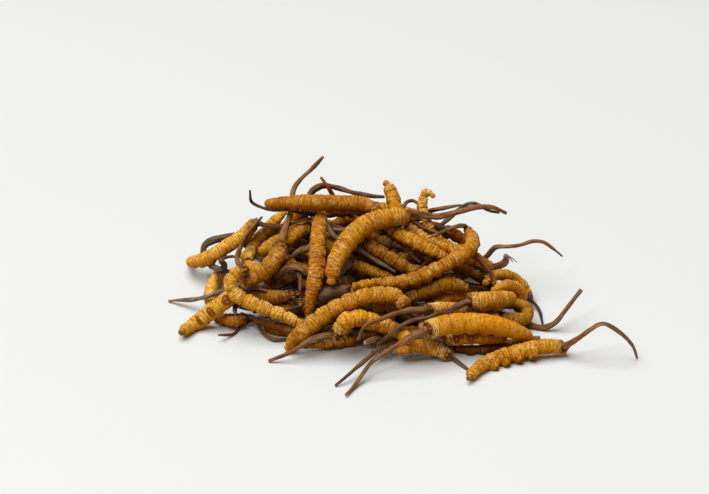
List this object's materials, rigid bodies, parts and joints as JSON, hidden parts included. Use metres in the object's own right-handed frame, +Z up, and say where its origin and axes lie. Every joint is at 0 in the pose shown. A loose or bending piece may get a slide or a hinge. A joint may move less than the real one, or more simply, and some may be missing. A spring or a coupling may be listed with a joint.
{
  "type": "heap of dried cordyceps",
  "caption": "Heap of dried cordyceps: ringed ochre larva bodies with thin dark fungus stalks, lying criss-cross in a low mound.",
  "frame": {"origin": "centre of the heap's box, on the surface it lies on", "axes": "+X along the heap's longest extent, to the right in the picture; +Y away from the viewer of the picture; +Z up"},
  "size_m": [0.1534, 0.1146, 0.0456],
  "materials": {
    "cordyceps": "matt, dry and finely wrinkled, ochre with brown rings"
  },
  "bodies": {
    "root": {"cordyceps_01": "cordyceps", "cordyceps_02": "cordyceps", "cordyceps_03": "cordyceps", "cordyceps_04": "cordyceps", "cordyceps_05": "cordyceps", "cordyceps_06": "cordyceps", "cordyceps_07": "cordyceps", "cordyceps_08": "cordyceps", "cordyceps_09": "cordyceps", "cordyceps_10": "cordyceps", "cordyceps_11": "cordyceps", "cordyceps_12": "cordyceps", "cordyceps_13": "cordyceps", "cordyceps_14": "cordyceps", "cordyceps_15": "cordyceps", "cordyceps_16": "cordyceps", "cordyceps_17": "cordyceps", "cordyceps_18": "cordyceps", "cordyceps_19": "cordyceps", "cordyceps_20": "cordyceps", "cordyceps_21": "cordyceps", "cordyceps_22": "cordyceps", "cordyceps_23": "cordyceps", "cordyceps_24": "cordyceps", "cordyceps_25": "cordyceps", "cordyceps_26": "cordyceps", "cordyceps_27": "cordyceps", "cordyceps_28": "cordyceps", "cordyceps_29": "cordyceps", "cordyceps_30": "cordyceps", "cordyceps_31": "cordyceps", "cordyceps_32": "cordyceps", "cordyceps_33": "cordyceps", "cordyceps_34": "cordyceps", "cordyceps_35": "cordyceps", "cordyceps_36": "cordyceps", "cordyceps_37": "cordyceps", "cordyceps_38": "cordyceps", "cordyceps_39": "cordyceps", "cordyceps_40": "cordyceps", "cordyceps_41": "cordyceps", "cordyceps_42": "cordyceps", "cordyceps_43": "cordyceps", "cordyceps_44": "cordyceps", "cordyceps_45": "cordyceps", "cordyceps_46": "cordyceps", "cordyceps_47": "cordyceps", "cordyceps_48": "cordyceps", "cordyceps_49": "cordyceps", "cordyceps_50": "cordyceps", "cordyceps_51": "cordyceps", "cordyceps_52": "cordyceps", "cordyceps_53": "cordyceps", "cordyceps_54": "cordyceps", "cordyceps_55": "cordyceps", "cordyceps_56": "cordyceps", "cordyceps_57": "cordyceps", "cordyceps_58": "cordyceps", "cordyceps_59": "cordyceps", "cordyceps_60": "cordyceps"}
  },
  "joints": []
}
